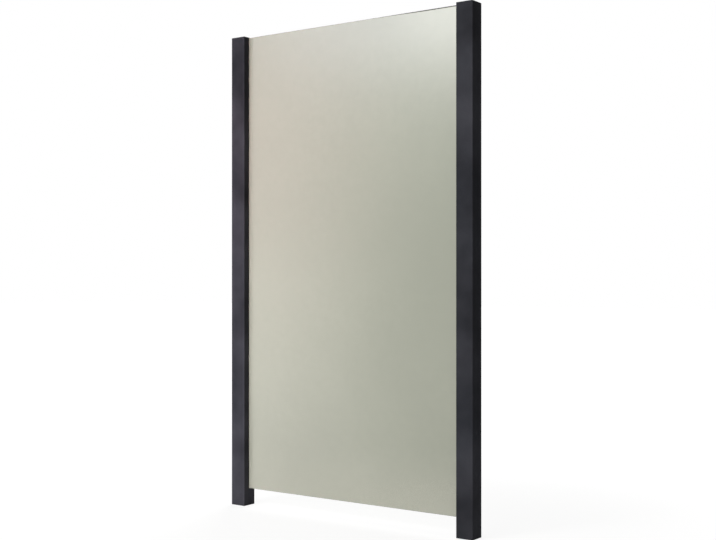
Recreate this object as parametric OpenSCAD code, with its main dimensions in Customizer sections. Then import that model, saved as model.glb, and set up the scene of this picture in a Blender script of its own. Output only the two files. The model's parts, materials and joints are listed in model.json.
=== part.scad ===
// One bay of a glass fence: two square slotted posts and a pane of satin glass
// between them, held in rubber gaskets. Each post has a flat clip-in cap, a cover
// strip that closes its unused outer groove, and a steel core that carries it at
// the ground.
// The origin is the middle of the left post's foot, at ground level. +X runs along
// the fence to the right post, +Z is up, and the front of the fence faces -Y.

/* [Glass pane] */
// Width of the pane
glass_w = 1000; // [400:5:2000]
// Height of the pane
glass_h = 1800; // [600:5:2400]
// Thickness of the pane
glass_t = 8; // [6:0.5:12]
// Width of the ground arris along the pane's edges
arris_w = 1; // [0.5:0.1:2]
// Height of the pane's lower edge above the ground
glass_lift = 68; // [40:1:200]
// How far the pane reaches into each post
glass_bite = 20; // [15:1:22]
// Gap between the pane's side edge and the bottom of the groove
edge_gap = 4; // [2:0.5:6]

/* [Posts] */
// Width of each side of a post
post_w = 65; // [62:1:120]
// Radius of the post's outer corners
post_corner_r = 1.5; // [0.5:0.1:2.5]
// Thickness of the outer walls and of the groove's bottom
wall_t = 2.5; // [1.5:0.1:4]
// Thickness of the two side walls of a groove
groove_wall_t = 2.6; // [2:0.1:5]
// Height of the tube above the pane's upper edge
head_gap = 0.5; // [0.5:0.5:5]

/* [Key notches] */
// Distance from the groove's mouth to a key notch
key_inset = 3; // [2:0.5:5]
// Width of a key notch
key_w = 3; // [2:0.5:4]
// Depth of a key notch
key_d = 1.2; // [0.6:0.1:1.5]
// Clearance of a bead in its key notch
key_clear = 0.2; // [0.1:0.05:0.3]

/* [Caps] */
// Thickness of the cap's plate
cap_t = 2; // [2:0.5:8]
// Chamfer around the top of the cap
cap_chamfer = 0.8; // [0.3:0.1:1.5]
// Depth of the cap's legs inside the tube
cap_leg_h = 12; // [6:1:30]
// Length of each arm of a cap's leg
cap_leg_w = 12; // [6:1:16]
// Thickness of a cap's leg
cap_leg_t = 2; // [1:0.5:4]
// Clearance between a cap's leg and the tube
cap_clear = 0.15; // [0.05:0.05:0.3]

/* [Gaskets] */
// Thickness of the gasket between the glass and the groove's wall
gasket_t = 4; // [2:0.5:6]
// Depth of the gasket inside the groove
gasket_d = 13; // [10:1:14]
// How far the gasket's lip stands out of the groove
lip_out = 1.2; // [0.4:0.1:3]
// Width of the lip's flat nose
lip_nose = 1.4; // [0.5:0.1:1.8]

/* [Glass supports] */
// Height of a spacer beside the pane's edge
spacer_h = 60; // [20:5:120]
// Width of a spacer
spacer_w = 7; // [4:0.5:8]
// Distance from the pane's upper or lower edge to the nearest spacer
spacer_inset = 150; // [50:10:250]
// Clearance between a glass rest and the walls of the groove
rest_clear = 0.2; // [0.1:0.1:0.5]
// Gap between a glass rest and the cover in front of it
rest_gap = 1; // [0.5:0.5:3]
// Thickness of the setting pad under the pane
pad_t = 6; // [3:1:10]
// Length of a setting pad
pad_len = 15; // [8:1:16]
// Margin of a setting pad beyond each face of the pane
pad_margin = 1; // [0.5:0.5:2]

/* [Cover strips] */
// Thickness of a cover strip's face
cover_t = 1.5; // [1:0.1:2.5]
// Thickness of a cover strip's clip legs
cover_leg_t = 1.4; // [1:0.1:2]
// Seam on both sides of a cover strip's face
cover_seam = 0.3; // [0.1:0.1:0.6]
// Gap between a lower cover strip and the gaskets above it
cover_gap = 1; // [0.5:0.5:3]

/* [Anchor cores] */
// Height of the core above the ground
core_h = 300; // [100:10:600]
// Drainage gap between the core and the bottoms of the grooves
core_clear = 1; // [0.5:0.1:2]

/* [Hidden] */
$fn = 48;
// Overshoot of a cut past the face that it opens
over = 1;
groove_w = glass_t + 2 * gasket_t;
groove_d = glass_bite + edge_gap;
post_pitch = glass_w - 2 * glass_bite + post_w;
post_h = glass_lift + glass_h + head_gap;
// Half sizes of the post's chamber, and where its side rooms begin
chamber_x = post_w / 2 - groove_d - wall_t;
chamber_y = post_w / 2 - wall_t;
room_y = groove_w / 2 + groove_wall_t;
groove_floor = post_w / 2 - groove_d;
clip_d = key_inset + key_w;
rest_h = glass_lift - pad_t;
rest_len = groove_d - clip_d - rest_gap;
// Heights of the lower ends of the lower and the upper spacers
spacer_lows = [glass_lift + spacer_inset, glass_lift + glass_h - spacer_inset - spacer_h];
coat_color = [0.16, 0.16, 0.18];
glass_color = [0.72, 0.74, 0.68, 0.8];
rubber_color = [0.05, 0.05, 0.05];
support_color = [0.1, 0.1, 0.11];
pad_color = [0.25, 0.25, 0.26];
steel_color = [0.6, 0.62, 0.64];

// Puts a left-hand piece in place, or its mirror image at the right post.
module at_side(side) {
    if (side == "left") children();
    else translate([post_pitch, 0, 0]) mirror([1, 0, 0]) children();
}

// A rectangle around the middle, with all four corners cut at 45 degrees.
module chamfered_rect(w, d, c) {
    polygon([
        [-w / 2 + c, -d / 2], [w / 2 - c, -d / 2], [w / 2, -d / 2 + c], [w / 2, d / 2 - c],
        [w / 2 - c, d / 2], [-w / 2 + c, d / 2], [-w / 2, d / 2 - c], [-w / 2, -d / 2 + c]
    ]);
}

// The outline of a post: a square with round corners.
module post_outline() {
    inner = post_w - 2 * post_corner_r;
    square([post_w, inner], center = true);
    square([inner, post_w], center = true);
    for (sx = [-1, 1], sy = [-1, 1])
        translate([sx * inner / 2, sy * inner / 2]) circle(r = post_corner_r);
}

// A groove in the +X side of a post, with a key notch in each of its side walls.
module groove_cut() {
    translate([groove_floor, -groove_w / 2]) square([groove_d + over, groove_w]);
    translate([post_w / 2 - clip_d, -groove_w / 2 - key_d]) square([key_w, groove_w + 2 * key_d]);
}

// The chamber inside a post: a web space between the grooves and two side rooms.
module chamber_cut() {
    square([2 * chamber_x, 2 * chamber_y], center = true);
    for (s = [-1, 1])
        translate([-chamber_y, s > 0 ? room_y : -chamber_y])
            square([2 * chamber_y, chamber_y - room_y]);
}

module post() {
    color(coat_color)
    linear_extrude(post_h)
    difference() {
        post_outline();
        chamber_cut();
        groove_cut();
        mirror([1, 0]) groove_cut();
    }
}

// A bar along X whose section is the cap's plate with its upper edges chamfered.
module cap_bar() {
    w = post_w / 2;
    rotate([90, 0, 90])
    linear_extrude(post_w, center = true)
    polygon([
        [-w, 0], [w, 0], [w, cap_t - cap_chamfer], [w - cap_chamfer, cap_t],
        [cap_chamfer - w, cap_t], [-w, cap_t - cap_chamfer]
    ]);
}

// An angle-shaped leg that fits one corner of the tube.
module cap_leg() {
    corner = chamber_y - cap_clear;
    translate([0, 0, -cap_leg_h])
    linear_extrude(cap_leg_h)
    difference() {
        translate([corner - cap_leg_w, corner - cap_leg_w]) square(cap_leg_w);
        translate([corner - cap_leg_w - over, corner - cap_leg_w - over])
            square(cap_leg_w - cap_leg_t + over);
    }
}

module cap() {
    color(coat_color)
    translate([0, 0, post_h]) {
        intersection() {
            linear_extrude(cap_t) post_outline();
            cap_bar();
            rotate([0, 0, 90]) cap_bar();
        }
        for (mx = [0, 1], my = [0, 1])
            mirror([mx, 0, 0]) mirror([0, my, 0]) cap_leg();
    }
}

// The pane: its plan section and its end section, both with ground arrises, crossed.
module glass_pane() {
    color(glass_color)
    translate([post_pitch / 2, 0, glass_lift])
    intersection() {
        linear_extrude(glass_h) chamfered_rect(glass_w, glass_t, arris_w);
        translate([0, 0, glass_h / 2])
            rotate([90, 0, 90])
            linear_extrude(glass_w, center = true)
            chamfered_rect(glass_t, glass_h, arris_w);
    }
}

// A gasket on the rear side of the pane; its bead sits in the groove's key notch.
module gasket() {
    mouth = post_w / 2;
    inner = glass_t / 2;
    outer = groove_w / 2;
    color(rubber_color)
    translate([0, 0, glass_lift])
    linear_extrude(glass_h)
    polygon([
        [mouth - gasket_d, inner], [mouth + lip_out, inner], [mouth + lip_out, inner + lip_nose],
        [mouth, outer], [mouth - key_inset - key_clear, outer],
        [mouth - key_inset - key_clear, outer + key_d - key_clear],
        [mouth - clip_d + key_clear, outer + key_d - key_clear],
        [mouth - clip_d + key_clear, outer], [mouth - gasket_d, outer]
    ]);
}

// A spacer between the pane's side edge and the bottom of the groove.
module edge_spacer(low) {
    color(support_color)
    translate([groove_floor, -spacer_w / 2, low])
        cube([edge_gap, spacer_w, spacer_h]);
}

// A block that stands in the groove and carries the pane's corner.
module glass_rest() {
    rest_w = groove_w - 2 * rest_clear;
    color(support_color)
    translate([groove_floor, -rest_w / 2, 0])
        cube([rest_len, rest_w, rest_h]);
}

// A soft pad between the glass rest and the pane's lower edge.
module setting_pad() {
    pad_w = glass_t + 2 * pad_margin;
    color(pad_color)
    translate([groove_floor + rest_len - pad_len, -pad_w / 2, rest_h])
        cube([pad_len, pad_w, pad_t]);
}

// A strip that closes a groove's mouth, with two legs that clip into its key notches.
module cover_strip(h) {
    mouth = post_w / 2;
    half_w = groove_w / 2;
    color(coat_color)
    linear_extrude(h) {
        translate([mouth - cover_t, cover_seam - half_w])
            square([cover_t, groove_w - 2 * cover_seam]);
        for (my = [0, 1]) mirror([0, my]) {
            translate([mouth - clip_d, half_w - cover_leg_t])
                square([clip_d - cover_t, cover_leg_t]);
            translate([mouth - clip_d + key_clear, half_w - cover_leg_t])
                square([key_w - 2 * key_clear, cover_leg_t + key_d - key_clear]);
        }
    }
}

// The part of the steel core above the ground, tight against the front and rear walls.
module anchor_core() {
    color(steel_color)
    translate([core_clear - chamber_x, -chamber_y, 0])
        cube([2 * (chamber_x - core_clear), 2 * chamber_y, core_h]);
}

for (side = ["left", "right"]) {
    at_side(side) post();
    at_side(side) cap();
    at_side(side) mirror([0, 1, 0]) gasket();
    at_side(side) gasket();
    at_side(side) edge_spacer(spacer_lows[0]);
    at_side(side) edge_spacer(spacer_lows[1]);
    at_side(side) glass_rest();
    at_side(side) setting_pad();
    at_side(side) cover_strip(glass_lift - cover_gap);
    at_side(side) mirror([1, 0, 0]) cover_strip(post_h);
    at_side(side) anchor_core();
}
glass_pane();
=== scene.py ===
import json
import math

import bpy
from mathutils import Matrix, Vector

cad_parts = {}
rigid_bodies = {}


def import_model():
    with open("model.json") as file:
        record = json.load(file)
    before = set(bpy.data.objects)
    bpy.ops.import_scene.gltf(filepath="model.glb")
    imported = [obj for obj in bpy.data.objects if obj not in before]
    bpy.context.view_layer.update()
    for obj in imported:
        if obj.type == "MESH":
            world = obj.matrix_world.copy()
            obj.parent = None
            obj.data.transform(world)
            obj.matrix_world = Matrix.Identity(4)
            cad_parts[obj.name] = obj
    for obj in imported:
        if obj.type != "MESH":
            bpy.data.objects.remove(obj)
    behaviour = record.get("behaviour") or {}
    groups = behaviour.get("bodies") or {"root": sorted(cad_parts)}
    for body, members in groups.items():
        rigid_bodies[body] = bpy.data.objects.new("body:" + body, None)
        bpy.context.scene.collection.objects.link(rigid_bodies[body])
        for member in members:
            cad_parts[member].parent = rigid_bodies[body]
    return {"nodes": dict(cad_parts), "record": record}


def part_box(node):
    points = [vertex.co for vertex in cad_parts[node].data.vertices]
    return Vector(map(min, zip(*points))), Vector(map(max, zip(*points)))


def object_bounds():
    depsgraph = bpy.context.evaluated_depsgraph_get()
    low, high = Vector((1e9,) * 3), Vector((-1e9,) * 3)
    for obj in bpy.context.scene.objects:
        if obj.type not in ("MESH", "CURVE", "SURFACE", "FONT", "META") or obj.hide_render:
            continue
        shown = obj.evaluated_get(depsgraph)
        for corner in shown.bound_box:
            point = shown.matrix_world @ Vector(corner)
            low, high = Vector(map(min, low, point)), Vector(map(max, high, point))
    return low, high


for leftover in list(bpy.data.objects):  # the start-up cube, lamp and camera
    bpy.data.objects.remove(leftover)
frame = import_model()
cadLow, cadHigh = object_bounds()
print("frame loaded:", len(frame["nodes"]), "pieces")

scene = bpy.context.scene
scene.view_settings.view_transform = "Standard"

postLow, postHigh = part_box("right_post")
paneLow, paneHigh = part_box("glass_pane")


# helpers that build node trees

def addNode(tree, kind, values=None, **settings):
    node = tree.nodes.new(kind)
    for name, value in settings.items():
        setattr(node, name, value)
    for socket, value in (values or {}).items():
        if isinstance(value, bpy.types.NodeSocket):
            tree.links.new(value, node.inputs[socket])
        else:
            node.inputs[socket].default_value = value
    return node


def calc(tree, operation, first, second=0.0, third=0.0, clamp=False):
    return addNode(tree, "ShaderNodeMath", {0: first, 1: second, 2: third},
                   operation=operation, use_clamp=clamp).outputs[0]


def mixColor(tree, factor, first, second, blend="MIX"):
    node = addNode(tree, "ShaderNodeMix", {0: factor, 6: first, 7: second},
                   data_type="RGBA", blend_type=blend)
    return node.outputs[2]


def mapRange(tree, value, fromLow, fromHigh, toLow=0.0, toHigh=1.0, smooth=False):
    kind = "SMOOTHSTEP" if smooth else "LINEAR"
    return addNode(tree, "ShaderNodeMapRange",
                   {0: value, 1: fromLow, 2: fromHigh, 3: toLow, 4: toHigh},
                   interpolation_type=kind).outputs[0]


def newMaterial(name):
    material = bpy.data.materials.new(name)
    material.use_nodes = True
    tree = material.node_tree
    tree.nodes.clear()
    shader = tree.nodes.new("ShaderNodeBsdfPrincipled")
    output = tree.nodes.new("ShaderNodeOutputMaterial")
    tree.links.new(shader.outputs[0], output.inputs[0])
    place = tree.nodes.new("ShaderNodeTexCoord").outputs["Object"]
    return material, tree, shader, place


def newGroup(name, inputs, outputs):
    group = bpy.data.node_groups.new(name, "ShaderNodeTree")
    for label, kind, value in inputs:
        socket = group.interface.new_socket(label, in_out="INPUT", socket_type=kind)
        if value is not None:
            socket.default_value = value
    for label, kind in outputs:
        group.interface.new_socket(label, in_out="OUTPUT", socket_type=kind)
    return group, group.nodes.new("NodeGroupInput").outputs, group.nodes.new("NodeGroupOutput")


def useGroup(tree, group, values):
    node = tree.nodes.new("ShaderNodeGroup")
    node.node_tree = group
    for name, value in values.items():
        if isinstance(value, bpy.types.NodeSocket):
            tree.links.new(value, node.inputs[name])
        else:
            node.inputs[name].default_value = value
    return node.outputs


viewpoint = {
    "azimuth": 37.12,     # degrees, round from straight in front towards the right post
    "sideways": 0.6043,   # metres from the right post's front edge to the middle of the view
    "distance": 4.0738,
    "eyeHeight": 0.9067,
    "lens": 59.252,
    "sensor": 36,
    "shiftX": 0.0842,
    "shiftY": 0.01174,
    "clipEnd": 200,
}


def makeCamera(s):
    turn = math.radians(s["azimuth"])
    right = Vector((math.cos(turn), math.sin(turn), 0))
    ahead = Vector((-math.sin(turn), math.cos(turn), 0))
    corner = Vector((postHigh.x, postLow.y, 0))
    camera = bpy.data.objects.new("camera", bpy.data.cameras.new("camera"))
    scene.collection.objects.link(camera)
    camera.location = corner - right * s["sideways"] - ahead * s["distance"]
    camera.location.z = s["eyeHeight"]
    camera.rotation_euler = (math.radians(90), 0, turn)
    camera.data.lens = s["lens"]
    camera.data.sensor_width = s["sensor"]
    camera.data.shift_x = s["shiftX"]
    camera.data.shift_y = s["shiftY"]
    camera.data.clip_end = s["clipEnd"]
    scene.camera = camera


makeCamera(viewpoint)
print("camera placed")


studio = {
    "ambient": 0.11,      # what the surroundings add to every surface
    "floorSize": 60.0,
    "floorColor": (0.9, 0.9, 0.895, 1),
    "floorFill": 0.8,     # share of the floor that shows plain white at the fence
    "floorWhite": 1.08,   # makes up for the floor's matte share
    "fadeFrom": 0.6,      # the floor turns into the background between these distances
    "fadeTo": 2.6,
}

# glow: how bright a lamp's own face is, where 1 is white; spread in degrees;
# only the mirrored ones show in glossy surfaces
lamps = [
    {"name": "frontSoftbox", "at": (0.3, -3.4, 1.3), "aim": (0.4, 0, 0.9), "size": (2.0, 1.6),
     "glow": 3.75, "color": (1, 1, 0.97), "spread": 180, "mirrored": False},
    {"name": "leftStripHigh", "at": (0, -2.4, 1.5), "aim": (0, 0, 1.5), "size": (0.3, 0.9),
     "glow": 1.54, "color": (1, 0.62, 0.74), "spread": 40, "mirrored": False},
    {"name": "leftStripLow", "at": (0, -2.4, 0.5), "aim": (0, 0, 0.5), "size": (0.3, 0.9),
     "glow": 1.38, "color": (1, 0.88, 0.99), "spread": 40, "mirrored": False},
    {"name": "rightPanel", "at": (-0.75, -3.65, 3.0), "aim": (0.8, 0, 1.2), "size": (1.2, 1.1),
     "glow": 15.0, "color": (1, 1, 0.98), "spread": 180, "mirrored": True},
    {"name": "leftPanel", "at": (-1.95, -3.65, 3.0), "aim": (0.8, 0, 1.2), "size": (1.2, 1.0),
     "glow": 6.3, "color": (0.86, 0.87, 1), "spread": 180, "mirrored": True},
    {"name": "rearSoftbox", "at": (-1.2, 3.6, 2.8), "aim": (0.55, 0, 0.9), "size": (2.4, 2.0),
     "glow": 9.6, "color": (1, 1, 1), "spread": 180, "mirrored": True},
]


def seesBackground(tree):
    path = tree.nodes.new("ShaderNodeLightPath").outputs
    seen = calc(tree, "ADD", path["Is Camera Ray"], path["Is Glossy Ray"], clamp=True)
    return calc(tree, "ADD", seen, path["Is Transmission Ray"], clamp=True)


def makeWorld(s):
    world = bpy.data.worlds.new("studio")
    scene.world = world
    world.use_nodes = True
    tree = world.node_tree
    tree.nodes.clear()
    strength = mapRange(tree, seesBackground(tree), 0, 1, s["ambient"], 1.0)
    light = addNode(tree, "ShaderNodeBackground", {"Color": (1, 1, 1, 1), "Strength": strength})
    output = tree.nodes.new("ShaderNodeOutputWorld")
    tree.links.new(light.outputs[0], output.inputs[0])


def makeFloor(s):
    half = s["floorSize"] / 2
    mesh = bpy.data.meshes.new("floor")
    corners = [(-half, -half, 0), (half, -half, 0), (half, half, 0), (-half, half, 0)]
    mesh.from_pydata(corners, [], [(0, 1, 2, 3)])
    floor = bpy.data.objects.new("floor", mesh)
    scene.collection.objects.link(floor)
    material = bpy.data.materials.new("paleFloor")
    material.use_nodes = True
    tree = material.node_tree
    tree.nodes.clear()
    place = tree.nodes.new("ShaderNodeTexCoord").outputs["Object"]
    centre = (paneLow + paneHigh) / 2
    reach = addNode(tree, "ShaderNodeVectorMath", {0: place, 1: (centre.x, 0, 0)},
                    operation="DISTANCE").outputs["Value"]
    fade = mapRange(tree, reach, s["fadeFrom"], s["fadeTo"], s["floorFill"], 1.0, smooth=True)
    share = calc(tree, "MULTIPLY", fade, seesBackground(tree))
    matte = addNode(tree, "ShaderNodeBsdfDiffuse", {"Color": s["floorColor"]}).outputs[0]
    white = addNode(tree, "ShaderNodeEmission",
                    {"Color": (1, 1, 1, 1), "Strength": s["floorWhite"]}).outputs[0]
    mixed = addNode(tree, "ShaderNodeMixShader", {0: share, 1: matte, 2: white}).outputs[0]
    output = tree.nodes.new("ShaderNodeOutputMaterial")
    tree.links.new(mixed, output.inputs[0])
    mesh.materials.append(material)


def makeLamp(s):
    data = bpy.data.lights.new(s["name"], "AREA")
    data.shape = "RECTANGLE"
    data.size, data.size_y = s["size"]
    data.energy = s["glow"] * math.pi * s["size"][0] * s["size"][1]
    data.color = s["color"]
    data.spread = math.radians(s["spread"])
    lamp = bpy.data.objects.new(s["name"], data)
    scene.collection.objects.link(lamp)
    lamp.location = s["at"]
    aim = Vector(s["aim"]) - Vector(s["at"])
    lamp.rotation_euler = aim.to_track_quat("-Z", "Y").to_euler()
    lamp.visible_camera = False
    lamp.visible_glossy = s["mirrored"]


makeWorld(studio)
makeFloor(studio)
for settings in lamps:
    makeLamp(settings)
print("studio set up")


noiseLow = 0.3   # a noise texture seldom leaves this range
noiseHigh = 0.7


def buildGrain():
    group, given, result = newGroup(
        "fineGrain",
        [("Place", "NodeSocketVector", None), ("Grains per metre", "NodeSocketFloat", 900.0),
         ("Stretch", "NodeSocketFloat", 1.0), ("Depth", "NodeSocketFloat", 0.5)],
        [("Height", "NodeSocketFloat"), ("Mask", "NodeSocketFloat")])
    lengthwise = calc(group, "DIVIDE", 1.0, given["Stretch"])  # drawn out along Z
    squeeze = addNode(group, "ShaderNodeCombineXYZ", {0: 1.0, 1: 1.0, 2: lengthwise}).outputs[0]
    place = addNode(group, "ShaderNodeVectorMath", {0: given["Place"], 1: squeeze},
                    operation="MULTIPLY").outputs[0]
    fine = addNode(group, "ShaderNodeTexNoise",
                   {"Vector": place, "Scale": given["Grains per metre"],
                    "Detail": 2.0, "Roughness": 0.6}).outputs[0]
    mask = mapRange(group, fine, noiseLow, noiseHigh)
    height = calc(group, "MULTIPLY", mask, given["Depth"])
    group.links.new(height, result.inputs["Height"])
    group.links.new(mask, result.inputs["Mask"])
    return group


def buildDrift():
    group, given, result = newGroup(
        "slowDrift",
        [("Place", "NodeSocketVector", None), ("Shift", "NodeSocketVector", None),
         ("Patches per metre", "NodeSocketFloat", 2.0),
         ("Low", "NodeSocketFloat", 0.9), ("High", "NodeSocketFloat", 1.1)],
        [("Factor", "NodeSocketFloat")])
    place = addNode(group, "ShaderNodeVectorMath", {0: given["Place"], 1: given["Shift"]},
                    operation="ADD").outputs[0]
    cloud = addNode(group, "ShaderNodeTexNoise",
                    {"Vector": place, "Scale": given["Patches per metre"],
                     "Detail": 3.0, "Roughness": 0.5}).outputs[0]
    spread = mapRange(group, cloud, noiseLow, noiseHigh, given["Low"], given["High"])
    group.links.new(spread, result.inputs["Factor"])
    return group


fineGrain = buildGrain()
slowDrift = buildDrift()
print("pattern groups built")


def useDrift(tree, place, patches, low, high, shift=(0, 0, 0)):
    return useGroup(tree, slowDrift, {"Place": place, "Shift": shift, "Low": low, "High": high,
                                      "Patches per metre": patches})["Factor"]


def useGrain(tree, place, look):
    return useGroup(tree, fineGrain, {"Place": place, "Grains per metre": look["grains"],
                                      "Stretch": look.get("stretch", 1.0),
                                      "Depth": look["grainHeight"]})


def tint(tree, color, tone):
    return mixColor(tree, 1.0, color, tone, blend="MULTIPLY")


def swing(tree, mask, middle, span):
    return mapRange(tree, mask, 0, 1, middle - span, middle + span)


def addBump(tree, shader, height):
    bump = addNode(tree, "ShaderNodeBump", {"Distance": 1.0, "Height": height})
    tree.links.new(bump.outputs[0], shader.inputs["Normal"])


def makePostCoat():
    coat = {
        "pale": (0.0557, 0.0553, 0.0648, 1),  # painted reflection bands: the coat's colour swings between these two
        "deep": (0.0319, 0.0334, 0.0399, 1),
        "reflectionBands": 3.0,        # per metre, bands of painted reflection down the post
        "reflectionBandShift": (21.0, 33.75, 32.75),  # picks the stretch of the pattern that shows, so the painted reflection bands fall at set heights
        "clouds": 5.0,        # per metre, and how far they lighten and darken the colour: more painted reflection bands
        "cloudLow": 0.65,
        "cloudHigh": 1.35,
        # the shift below picks where the painted reflection clouds fall
        "cloudShift": (8.2, 10.4, 15.2),
        "roughness": 0.38,
        "roughSpan": 0.05,
        "specular": 0.005,
        "grains": 1400.0,     # powder grains per metre
        "grainHeight": 0.00004,
        "grainTone": 0.12,    # how much the grains lighten and darken the colour
        "seamShade": 0.00025,     # half the width of the painted shade line in the seam between cap and post
        "seamShadeTone": 0.45,
        "cornerHighlight": 1.7,           # painted highlight: how much lighter the coat is along the post's corners
        "cornerHighlightWidth": 0.0032,
        "bareMetal": (0.56, 0.57, 0.58, 1),
        "bareRoughness": 0.42,
    }
    tube = {  # the post's own section: the coat ends inside it and at its sawn foot
        "inner": 0.0307,
        "grooveHalf": 0.0099,
        "grooveFrom": 0.0072,
        "sawn": 0.0004,
    }
    material, tree, shader, place = newMaterial("powderCoat")
    split = addNode(tree, "ShaderNodeSeparateXYZ", {0: place}).outputs
    half = (postHigh.x - postLow.x) / 2
    middle = (cadLow.x + cadHigh.x) / 2
    reach = (cadHigh.x - cadLow.x) / 2 - half  # from the bay's middle to a post's axis
    fromMiddle = calc(tree, "ABSOLUTE", calc(tree, "SUBTRACT", split["X"], middle))
    across = calc(tree, "ABSOLUTE", calc(tree, "SUBTRACT", fromMiddle, reach))
    deep = calc(tree, "ABSOLUTE", split["Y"])
    grain = useGrain(tree, place, coat)

    # painted reflection: slow lighter and darker bands along the post
    reflectionBand = useDrift(tree, place, coat["reflectionBands"], 0.0, 1.0, coat["reflectionBandShift"])
    paint = mixColor(tree, reflectionBand, coat["pale"], coat["deep"])
    # painted reflection: clouds that lighten and darken the coat in patches
    cloud = useDrift(tree, place, coat["clouds"], coat["cloudLow"], coat["cloudHigh"],
                     coat["cloudShift"])
    corner = calc(tree, "MINIMUM", across, deep)
    # painted highlight where the rounded corners catch the light, broken up by the grain
    cornerHighlit = mapRange(tree, corner, half - coat["cornerHighlightWidth"], half, smooth=True)
    cornerHighlit = calc(tree, "MULTIPLY", cornerHighlit, grain["Mask"])
    tone = calc(tree, "MULTIPLY", cloud, mapRange(tree, cornerHighlit, 0, 1, 1.0, coat["cornerHighlight"]))
    tone = calc(tree, "MULTIPLY", tone, swing(tree, grain["Mask"], 1.0, coat["grainTone"]))
    # painted shade: a dark hairline at the post's top, in the seam under the cap
    seamShade = calc(tree, "COMPARE", split["Z"], postHigh.z, coat["seamShade"])
    tone = calc(tree, "MULTIPLY", tone, mapRange(tree, seamShade, 0, 1, 1.0, coat["seamShadeTone"]))
    painted = tint(tree, paint, tone)

    inside = calc(tree, "LESS_THAN", calc(tree, "MAXIMUM", across, deep), tube["inner"])
    inGroove = calc(tree, "MULTIPLY", calc(tree, "LESS_THAN", deep, tube["grooveHalf"]),
                    calc(tree, "GREATER_THAN", across, tube["grooveFrom"]))
    inside = calc(tree, "SUBTRACT", inside, inGroove, clamp=True)
    inside = calc(tree, "MULTIPLY", inside, calc(tree, "LESS_THAN", split["Z"], postHigh.z))
    sawn = calc(tree, "LESS_THAN", split["Z"], tube["sawn"])
    bare = calc(tree, "MAXIMUM", inside, sawn)

    tree.links.new(mixColor(tree, bare, painted, coat["bareMetal"]), shader.inputs["Base Color"])
    tree.links.new(bare, shader.inputs["Metallic"])
    satin = swing(tree, grain["Mask"], coat["roughness"], coat["roughSpan"])
    rough = addNode(tree, "ShaderNodeMix", {0: bare, 2: satin, 3: coat["bareRoughness"]}).outputs[0]
    tree.links.new(rough, shader.inputs["Roughness"])
    shader.inputs["Specular IOR Level"].default_value = coat["specular"]
    addBump(tree, shader, grain["Height"])
    return material


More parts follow.
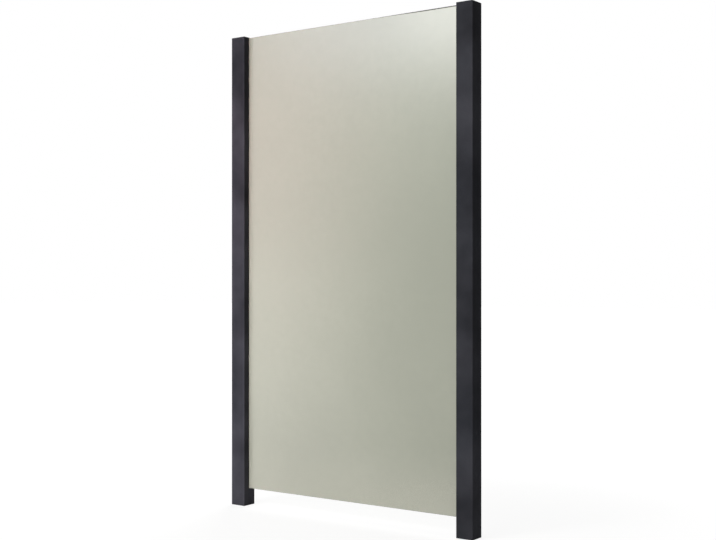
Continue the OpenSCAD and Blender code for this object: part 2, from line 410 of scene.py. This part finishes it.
def makeSatinGlass():
    glass = {
        "color": (0.427, 0.44, 0.362, 1),
        "ior": 1.5,
        "transmission": 0.05,
        "roughness": 0.24,
        "roughSpan": 0.015,
        "grains": 2600.0,     # per metre, the fine etch
        "grainHeight": 0.000004,
        "clouds": 1.4,        # per metre
        "cloudSpan": 0.05,
        "cloudShift": (18.25, 27.75, 5.75),
        "mottles": 28.0,      # per metre, the uneven etch
        "mottleSpan": 0.02,
        "calmPatches": 1.6,   # per metre, where the mottles fade out
        "calmLow": 0.1,
        "calmHigh": 1.2,
        "edgeColor": (0.022, 0.023, 0.014, 1),
        "edge": 0.0008,       # width of the ground arris that shows darker
        "edgeGrime": 0.0028,  # how much wider it shows where it is grimy
        "edgeSpan": 0.0006,
        "edgeRough": 0.4,
        "grimePatches": 1.2,  # per metre
        "grimeLow": -0.78,    # below 0 the edge is clean, above 1 it is fully grimy
        "grimeHigh": 1.85,
        "grimeShift": (24.5, 0.75, 13.75),
        # painted light and dried splashes: a lighter, warmer haze along the lower edge
        "splashAndLightColor": (0.66, 0.65, 0.56, 1),
        "splashRough": 0.1,
        "splashAndLightHeight": 0.26,
        "splashAndLightPatches": 0.8,
        "splashAndLightLow": 0.12,    # dried splashes and painted light along the lower edge, where fewest and where most
        "splashAndLightHigh": 0.54,   # and where most
        "splashAndLightShift": (2.5, 3.0, 38.0),
        "spots": 320.0,       # dried drops per metre, and how uneven they make it
        "spotSpan": 0.18,
    }
    material, tree, shader, place = newMaterial("satinGlass")
    split = addNode(tree, "ShaderNodeSeparateXYZ", {0: place}).outputs
    middle = (paneLow + paneHigh) / 2
    half = (paneHigh - paneLow) / 2
    grain = useGrain(tree, place, glass)

    cloud = useDrift(tree, place, glass["clouds"], 1 - glass["cloudSpan"],
                     1 + glass["cloudSpan"], glass["cloudShift"])
    mottle = useDrift(tree, place, glass["mottles"], -glass["mottleSpan"], glass["mottleSpan"])
    calm = useDrift(tree, place, glass["calmPatches"], glass["calmLow"], glass["calmHigh"])
    tone = calc(tree, "MULTIPLY", cloud, calc(tree, "MULTIPLY_ADD", mottle, calm, 1.0))
    body = tint(tree, glass["color"], tone)

    # dried splashes and painted light: the pane turns lighter and warmer towards its lower edge
    splashAndLight = useDrift(tree, place, glass["splashAndLightPatches"], glass["splashAndLightLow"],
                      glass["splashAndLightHigh"], glass["splashAndLightShift"])
    fade = mapRange(tree, split["Z"], paneLow.z, paneLow.z + glass["splashAndLightHeight"],
                    1.0, 0.0, smooth=True)
    splashAndLight = calc(tree, "MULTIPLY", splashAndLight, fade)
    spot = useGroup(tree, fineGrain, {"Place": place, "Grains per metre": glass["spots"]})["Mask"]
    splashAndLight = calc(tree, "MULTIPLY", splashAndLight, swing(tree, spot, 1.0, glass["spotSpan"]))
    body = mixColor(tree, splashAndLight, body, glass["splashAndLightColor"])

    fromSide = calc(tree, "SUBTRACT", half.x,
                    calc(tree, "ABSOLUTE", calc(tree, "SUBTRACT", split["X"], middle.x)))
    fromEnd = calc(tree, "SUBTRACT", half.z,
                   calc(tree, "ABSOLUTE", calc(tree, "SUBTRACT", split["Z"], middle.z)))
    grime = useDrift(tree, place, glass["grimePatches"], glass["grimeLow"], glass["grimeHigh"],
                     glass["grimeShift"])
    grime = calc(tree, "ADD", grime, 0.0, clamp=True)
    edgeWidth = calc(tree, "MULTIPLY_ADD", grime, glass["edgeGrime"], glass["edge"])
    pastEdge = calc(tree, "SUBTRACT", calc(tree, "MINIMUM", fromSide, fromEnd), edgeWidth)
    edge = mapRange(tree, pastEdge, -glass["edgeSpan"], glass["edgeSpan"], 1.0, 0.0)

    tree.links.new(mixColor(tree, edge, body, glass["edgeColor"]), shader.inputs["Base Color"])
    rough = swing(tree, grain["Mask"], glass["roughness"], glass["roughSpan"])
    rough = calc(tree, "MULTIPLY_ADD", splashAndLight, glass["splashRough"], rough)
    rough = calc(tree, "MULTIPLY_ADD", edge, glass["edgeRough"], rough)
    tree.links.new(rough, shader.inputs["Roughness"])
    shader.inputs["IOR"].default_value = glass["ior"]
    shader.inputs["Transmission Weight"].default_value = glass["transmission"]
    addBump(tree, shader, grain["Height"])
    return material


gasketRubber = {  # extruded, so its grain runs along the gasket
    "color": (0.012, 0.012, 0.012, 1), "clouds": 9.0, "cloudSpan": 0.2,
    "roughness": 0.6, "roughSpan": 0.06, "specular": 0.12,
    "grains": 2200.0, "stretch": 14.0, "grainHeight": 0.00005,
}
supportPlastic = {
    "color": (0.02, 0.02, 0.022, 1), "clouds": 40.0, "cloudSpan": 0.15,
    "roughness": 0.5, "roughSpan": 0.06, "specular": 0.3,
    "grains": 1500.0, "grainHeight": 0.00004,
}
padRubber = {
    "color": (0.05, 0.05, 0.055, 1), "clouds": 90.0, "cloudSpan": 0.2,
    "roughness": 0.75, "roughSpan": 0.06, "specular": 0.2,
    "grains": 1100.0, "grainHeight": 0.00009,
}


def makeMoulded(name, look):
    material, tree, shader, place = newMaterial(name)
    cloud = useDrift(tree, place, look["clouds"], 1 - look["cloudSpan"], 1 + look["cloudSpan"])
    tree.links.new(tint(tree, look["color"], cloud), shader.inputs["Base Color"])
    grain = useGrain(tree, place, look)
    rough = swing(tree, grain["Mask"], look["roughness"], look["roughSpan"])
    tree.links.new(rough, shader.inputs["Roughness"])
    shader.inputs["Specular IOR Level"].default_value = look["specular"]
    addBump(tree, shader, grain["Height"])
    return material


def makeGalvanised():
    zinc = {
        "dark": (0.36, 0.38, 0.4, 1),
        "light": (0.56, 0.58, 0.6, 1),
        "spangles": 110.0,    # crystals per metre
        "clouds": 14.0,       # per metre
        "cloudLow": 0.88,
        "cloudHigh": 1.08,
        "roughness": 0.38,
        "roughSpan": 0.08,
    }
    material, tree, shader, place = newMaterial("galvanisedSteel")
    crystal = addNode(tree, "ShaderNodeTexVoronoi", {"Vector": place, "Scale": zinc["spangles"]},
                      feature="F1").outputs["Color"]
    shade = addNode(tree, "ShaderNodeSeparateXYZ", {0: crystal}).outputs["X"]
    cloud = useDrift(tree, place, zinc["clouds"], zinc["cloudLow"], zinc["cloudHigh"])
    color = mixColor(tree, shade, zinc["dark"], zinc["light"])
    tree.links.new(tint(tree, color, cloud), shader.inputs["Base Color"])
    rough = swing(tree, shade, zinc["roughness"], zinc["roughSpan"])
    tree.links.new(rough, shader.inputs["Roughness"])
    shader.inputs["Metallic"].default_value = 1.0
    return material


finishes = {
    "post_coat": makePostCoat(),
    "satin_glass": makeSatinGlass(),
    "gasket_rubber": makeMoulded("gasketRubber", gasketRubber),
    "support_plastic": makeMoulded("supportPlastic", supportPlastic),
    "pad_rubber": makeMoulded("padRubber", padRubber),
    "anchor_steel": makeGalvanised(),
}
slotOf = {part["node"]: part["material_slot"] for part in frame["record"]["subparts"]}
for name, piece in frame["nodes"].items():
    for slot in piece.material_slots:
        slot.material = finishes[slotOf[name]]
print("materials assigned")
